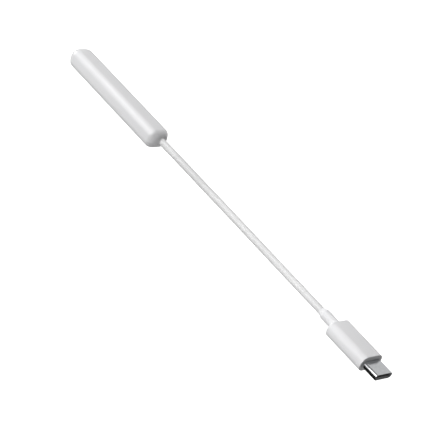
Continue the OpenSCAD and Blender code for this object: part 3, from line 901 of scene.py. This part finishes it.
def make_switch():
    low, high = corners("switch_frame")
    press_low, press_high = corners("switch_plunger")
    wall, skin_t, gap_x, gap_z = mm(0.4, 0.2, 0.1, 0.08)
    box = block("frame", low, high)
    inset = Vector((wall, wall, skin_t))
    room = block("room", low + inset, high - inset)
    gate = block("gate", *span(past(press_low.x, press_high.x, gap_x), about(high.y, OVER),
                               past(press_low.z, press_high.z, gap_z)))
    cut(box, room, gate)
    soften(box, 0.06 * MM, 2, 60)
    stand_for(painted(box, nylon_grey), "switch_frame")
    plunger = block("plunger", press_low, press_high, 0.14 * MM, 4)
    stand_for(painted(plunger, carbon_black), "switch_plunger", "button")


def make_dome():
    """Snap dome: a thin strip bowed over its seat, with a foot at either end."""
    low, high = corners("switch_dome")
    x, thick, ball = mid_of("switch_dome").x, 0.1 * MM, 1.45 * MM
    centre, foot = high.y - thick / 2 - ball, low.y + thick / 2
    reach = math.acos((foot - centre) / ball)
    turns = [reach * i / 8 for i in range(-8, 9)]
    arc = [(x + ball * math.sin(a), centre + ball * math.cos(a)) for a in turns]
    spring = strip("snap_dome", [(low.x, foot)] + arc + [(high.x, foot)], thick, low.z, high.z)
    return stand_for(painted(spring, spring_metal), "switch_dome")


def make_pair(name, node, route, start, radius):
    """Red and black wires side by side with bare tinned tips, along a route in mm from the point start."""
    parts = []
    for s, colour in ((-1, red_pvc), (1, black_pvc)):
        points = [start + Vector((x, s * y, z)) * MM for x, y, z in route]
        parts.append(painted(wire("wire", points, radius), colour))
        onward = (points[-1] - points[-2]).normalized()
        tip = [points[-1] + onward * reach for reach in mm(-0.1, 0.2, 0.4)]
        parts.append(painted(wire("tip", tip, radius / 2), tin))
    return stand_for(join(name, *parts), node)


POWER_ROUTE = [(0.66, 0.55, 0.7), (0.1, 0.6, 0.7), (-0.6, 1.0, 0.7), (-1.3, 1.5, 0.45), (-2.0, 1.6, 0.38)]

make_housing()
make_bottom_cover()
make_button()
make_collar()
make_socket_body()
make_socket_contacts()
make_light_pipe()
make_gland()
make_board()
quad_pack("bluetooth_package", "bluetooth_chip", 10)
quad_pack("amplifier_package", "headphone_amplifier", 6)
make_regulator()
end_capped("capacitors", "chip_capacitors", ceramic_tan)
end_capped("resistors", "chip_resistors", ceramic_white, chip_black)
make_inductor()
make_antenna()
make_shield()
make_crystal()
make_led()
make_switch()
make_dome()
make_pair("power_wire_pair", "power_wires", POWER_ROUTE, Vector((board_high.x, 0, board_high.z)), 0.35 * MM)


# ---- the plug ----

grip_low, grip_high = corners("plug_grip")
grip_size, grip_mid = size_of("plug_grip"), mid_of("plug_grip")
usb_low, usb_high = corners("plug_shell")
usb_size = size_of("plug_shell")
PLUG_Y, PLUG_Z = grip_mid.y, grip_mid.z
GRIP_R = 2.6 * MM
SHELL_T = 0.25 * MM


def make_grip():
    back_edge, mouth_edge, crimp_room = mm(0.45, 0.45), mm(0.12, 0.12), 1 * MM
    mould_low, mould_high = corners("plug_inner_mould")
    mould_size = size_of("plug_inner_mould")
    body = bar("grip", grip_low.x, grip_high.x, grip_size.y, grip_size.z, GRIP_R, PLUG_Y, PLUG_Z,
               back_edge, mouth_edge, 14)
    pocket = bar("pocket", mould_low.x - crimp_room, mould_high.x + SEAM, mould_size.y + 2 * SEAM,
                 mould_size.z + 2 * SEAM, 1.5 * MM, PLUG_Y, PLUG_Z, steps=8)
    mouth = bar("mouth", mould_low.x, grip_high.x + OVER, usb_size.y + 2 * SEAM, usb_size.z + 2 * SEAM,
                usb_size.z / 2, PLUG_Y, PLUG_Z, steps=16)
    cut(body, pocket, mouth)
    soften(body, 0.05 * MM, 2, 50)
    return stand_for(painted(body, grip_white), "plug_grip")


def make_sleeve():
    """Round sleeve whose end tapers onto the lead and reaches a little back over it."""
    size, mid = size_of("plug_sleeve"), mid_of("plug_sleeve")
    taper, lip, sunk, steps = *mm(2.4, 2, 0.02), 16
    r, start = size.y / 2, LEAD_D / 2 - sunk
    slope = [(taper * i / steps - lip, start + (r - start) * (0.5 - 0.5 * math.cos(math.pi * i / steps)))
             for i in range(steps + 1)]
    piece = lathe("sleeve", slope + [(size.x, r)], (mid.x - size.x / 2, mid.y, mid.z), "X", 64)
    return stand_for(painted(piece, grip_white), "plug_sleeve")


def make_shell():
    outer = bar("usb_shell", usb_low.x, usb_high.x, usb_size.y, usb_size.z, usb_size.z / 2,
                PLUG_Y, PLUG_Z, end1=mm(0.16, 0.16), steps=20)
    inner = bar("usb_inner", *past(usb_low.x, usb_high.x), usb_size.y - 2 * SHELL_T,
                usb_size.z - 2 * SHELL_T, usb_size.z / 2 - SHELL_T, PLUG_Y, PLUG_Z, steps=20)
    cut(outer, inner)
    soften(outer, 0.04 * MM, 2, 50)
    return stand_for(painted(outer, plug_steel), "plug_shell")


def make_inner_mould():
    low, high = corners("plug_inner_mould")
    size = size_of("plug_inner_mould")
    wall, pocket_w, pocket_h, pocket_r, hole_r = mm(0.8, 7.0, 2.8, 0.8, 1.8)
    key_l, key_half_w, key_deep = mm(0.8, 1.2, 0.15)
    body = bar("mould", low.x, high.x, size.y, size.z, 1.45 * MM, PLUG_Y, PLUG_Z, mm(0.2, 0.2), steps=8)
    pocket = bar("pocket", low.x + wall, high.x + OVER, pocket_w, pocket_h, pocket_r, PLUG_Y, PLUG_Z, steps=8)
    hole = rod("hole", (low.x - OVER, PLUG_Y, PLUG_Z), "X", hole_r, 3 * OVER)
    keys = [block("key", *span((low.x + x, low.x + x + key_l), about(PLUG_Y, key_half_w), about(z, key_deep)))
            for x in mm(3.0, 5.6) for z in (low.z, high.z)]
    cut(body, pocket, hole, *keys)
    soften(body, 0.06 * MM, 2, 50)
    return stand_for(painted(body, mould_cream), "plug_inner_mould")


def make_carrier():
    low, high = corners("contact_carrier")
    size, hair = size_of("contact_carrier"), 0.01 * MM
    latch_low, latch_high = corners("latch_springs")
    gap_low, gap_high = corners("ground_springs")
    body = bar("carrier", low.x, high.x, size.y, size.z, size.z / 2 - hair, PLUG_Y, PLUG_Z,
               end1=mm(0.12, 0.12), steps=12)
    mouth = block("mouth", (latch_low.x, latch_low.y, gap_low.z), (high.x + OVER, latch_high.y, gap_high.z))
    cut(body, mouth)
    soften(body, 0.04 * MM, 2, 50)
    return stand_for(painted(body, carrier_grey), "contact_carrier")


def make_row(name, node):
    """Row of flat contacts with rounded edges."""
    return stand_for(painted(boxes(name, islands(node), 0.045 * MM, 3), gold), node)


def make_latches():
    """Side springs, each with its nose bowed in to where it catches."""
    nose = [(0, 0), (1.6, 0), (2.6, -0.12), (3.4, -0.3), (3.8, -0.26), (4.15, -0.05)]
    springs = []
    for low, high in islands("latch_springs"):
        y, thick = (low.y + high.y) / 2, high.y - low.y
        path = bent(nose, 1 if y > PLUG_Y else -1, low.x, y)
        springs.append(painted(strip("latch", path, thick, low.z, high.z), spring_metal))
    return stand_for(join("latches", *springs), "latch_springs")


def make_ground_springs():
    """Flat pads above and below the mouth, each with a small bump on its inner face."""
    bump_h, bump_r = mm(0.06, 0.22)
    pads = [painted(boxes("pads", islands("ground_springs"), 0.03 * MM), spring_metal)]
    for low, high in islands("ground_springs"):
        inward, face = (1, high.z) if low.z < PLUG_Z else (-1, low.z)
        at = ((low.x + high.x) / 2, (low.y + high.y) / 2, face)
        bump = lathe("bump", dome(inward * bump_h, bump_r, (90, 65, 40, 15)), at, "Z", 20)
        pads.append(painted(bump, spring_metal))
    return stand_for(join("ground_pads", *pads), "ground_springs")


def make_plug_board():
    low, high = corners("plug_board")
    margin, pad_l, pad_half_w, pad_half_t, sunk = mm(0.35, 0.95, 0.4, 0.02, 0.015)
    x0 = low.x + margin
    plate = painted(block("plate", low, high, 0.04 * MM), board_green)
    pads = [span((x0, x0 + pad_l), about(PLUG_Y + y, pad_half_w), about(z, pad_half_t))
            for y in mm(-2.4, -1.4, 1.4, 2.4) for z in (low.z + sunk, high.z - sunk)]
    return stand_for(join("plug_circuit", plate, painted(boxes("pads", pads), tin)), "plug_board")


def make_crimp():
    """Crimp ring, pressed in round its middle by three rings of the tool."""
    low, size = corners("crimp_ring")[0], size_of("crimp_ring")
    outer, inner, dent, dents, steps = size.y / 2, 1.35 * MM, 0.1 * MM, 3, 16
    wave = [(size.x * k / steps, outer - dent * (0.5 - 0.5 * math.cos(math.tau * dents * k / steps)))
            for k in range(steps + 1)]
    profile = [(0, inner)] + wave + [(size.x, inner), (0, inner)]
    piece = lathe("crimp", profile, (low.x, PLUG_Y, PLUG_Z), "X")
    return stand_for(painted(piece, tin), "crimp_ring")


PLUG_ROUTE = [(2.0, 0.5, 0.2), (3.0, 0.7, 0.35), (3.8, 1.2, 0.7), (5.6, 1.4, 0.66)]
PLUG_START = Vector((grip_low.x, PLUG_Y, PLUG_Z))

plug_pieces = [make_sleeve(), make_grip(), make_shell(), make_inner_mould(), make_carrier(),
               make_row("upper_row", "upper_contacts"), make_row("lower_row", "lower_contacts"),
               make_latches(), make_ground_springs(), make_plug_board(), make_crimp(),
               make_pair("plug_pair", "plug_wires", PLUG_ROUTE, PLUG_START, 0.32 * MM)]
painted(lead_piece, jacket_white)
stand_for(lead_piece, "lead")


# ---- floor and light ----

FLOOR_HALF = 3                    # metres
FLOOR_GLOW = 0.9
BOUNCE = 0.41
AMBIENT = 0.05
LIGHT_DISTANCE = 2.0
# Each panel's azimuth and elevation, the degrees that it fills either way, and its radiance
PANELS = {
    "side_low": (-75, 7, 25, 4.9),
    "side_mid": (-75, 28, 20, 1.9),
    "side_high": (-78, 55, 22, 0.7),
    "key_low": (-25, 7, 25, 1.5),
    "key_inner": (-50, 7, 25, 0.35),
    "key_mid": (-45, 28, 28, 0.8),
    "key_high": (-61, 38, 22, 0.4),
    "top_side": (-61, 68, 22, 0.8),
    "top_core": (-61, 53, 22, 0.6),
    "strip_core": (-50, 40, 12, 3.0),
    "overhead": (0, 80, 40, 0.5),
    "front_low": (-10, 12, 40, 1.25),
    "front_high": (-10, 45, 40, 2.8),
    "rear": (-150, 28, 76, 0.58),
    "far_side": (180, 12, 40, 0.6),
    "metal_fill": (50, 14, 60, 0.2),
    "metal_back": (130, 20, 60, 0.3),
}
ONLY_THE_METAL = ("metal_fill", "metal_back")
OFF_THE_METAL = ("side_low", "side_high", "key_low", "key_inner", "front_low", "top_side", "top_core",
                 "strip_core")


def glow_card(name, z, colour, glow):
    """Level square that gives off light evenly."""
    low, high = -FLOOR_HALF, FLOOR_HALF
    card = link_mesh(name, [(low, low, z), (high, low, z), (high, high, z), (low, high, z)], [(0, 1, 2, 3)])
    n = Nodes(name)
    n.set(Base_Color=colour, Roughness=0.9, Specular_IOR_Level=0.1)
    n.set(Emission_Color=(1, 1, 1, 1), Emission_Strength=glow)
    painted(card, n.material)
    return card


def make_floor():
    """The floor that the camera sees, and just above it the light that a pale floor throws back."""
    floor = glow_card("floor", 0, grey(0.95), FLOOR_GLOW)
    floor.visible_diffuse = floor.visible_glossy = False
    bounce = glow_card("floor_bounce", 0.1 * MM, grey(0), BOUNCE)
    bounce.visible_camera = bounce.visible_shadow = False
    return bounce


def soft_box(name, azimuth, elevation, fills, radiance):
    """Square panel that fills so many degrees each way as seen from the object, of the given radiance."""
    data = bpy.data.lights.new(name, "AREA")
    data.shape = "SQUARE"
    data.size = 2 * LIGHT_DISTANCE * math.tan(math.radians(fills / 2))
    data.energy = radiance * math.pi * data.size ** 2
    box = bpy.data.objects.new(name, data)
    out = away(azimuth, elevation)
    box.location = AIM + out * LIGHT_DISTANCE
    box.rotation_euler = out.to_track_quat("Z", "Y").to_euler()
    bpy.context.collection.objects.link(box)
    return box


def link_lights(name, lights, piece, state):
    """Lights that reach only the piece, with INCLUDE, or everything but it, with EXCLUDE."""
    group = bpy.data.collections.new(name)
    group.objects.link(piece)
    group.collection_objects[0].light_linking.link_state = state
    for light in lights:
        light.light_linking.receiver_collection = group


def make_light():
    world = bpy.data.worlds.new("studio")
    world.use_nodes = True
    background = world.node_tree.nodes["Background"]
    background.inputs["Color"].default_value = (1, 1, 1, 1)
    background.inputs["Strength"].default_value = AMBIENT
    bpy.context.scene.world = world
    return {name: soft_box(name, *values) for name, values in PANELS.items()}


floor_bounce = make_floor()
panels = make_light()
usb_shell = bpy.data.objects["usb_shell"]
off_the_metal = [floor_bounce] + [panels[name] for name in OFF_THE_METAL]
link_lights("all_but_the_metal", off_the_metal, usb_shell, "EXCLUDE")
link_lights("only_the_metal", [panels[name] for name in ONLY_THE_METAL], usb_shell, "INCLUDE")
bpy.context.scene.view_settings.view_transform = "Standard"
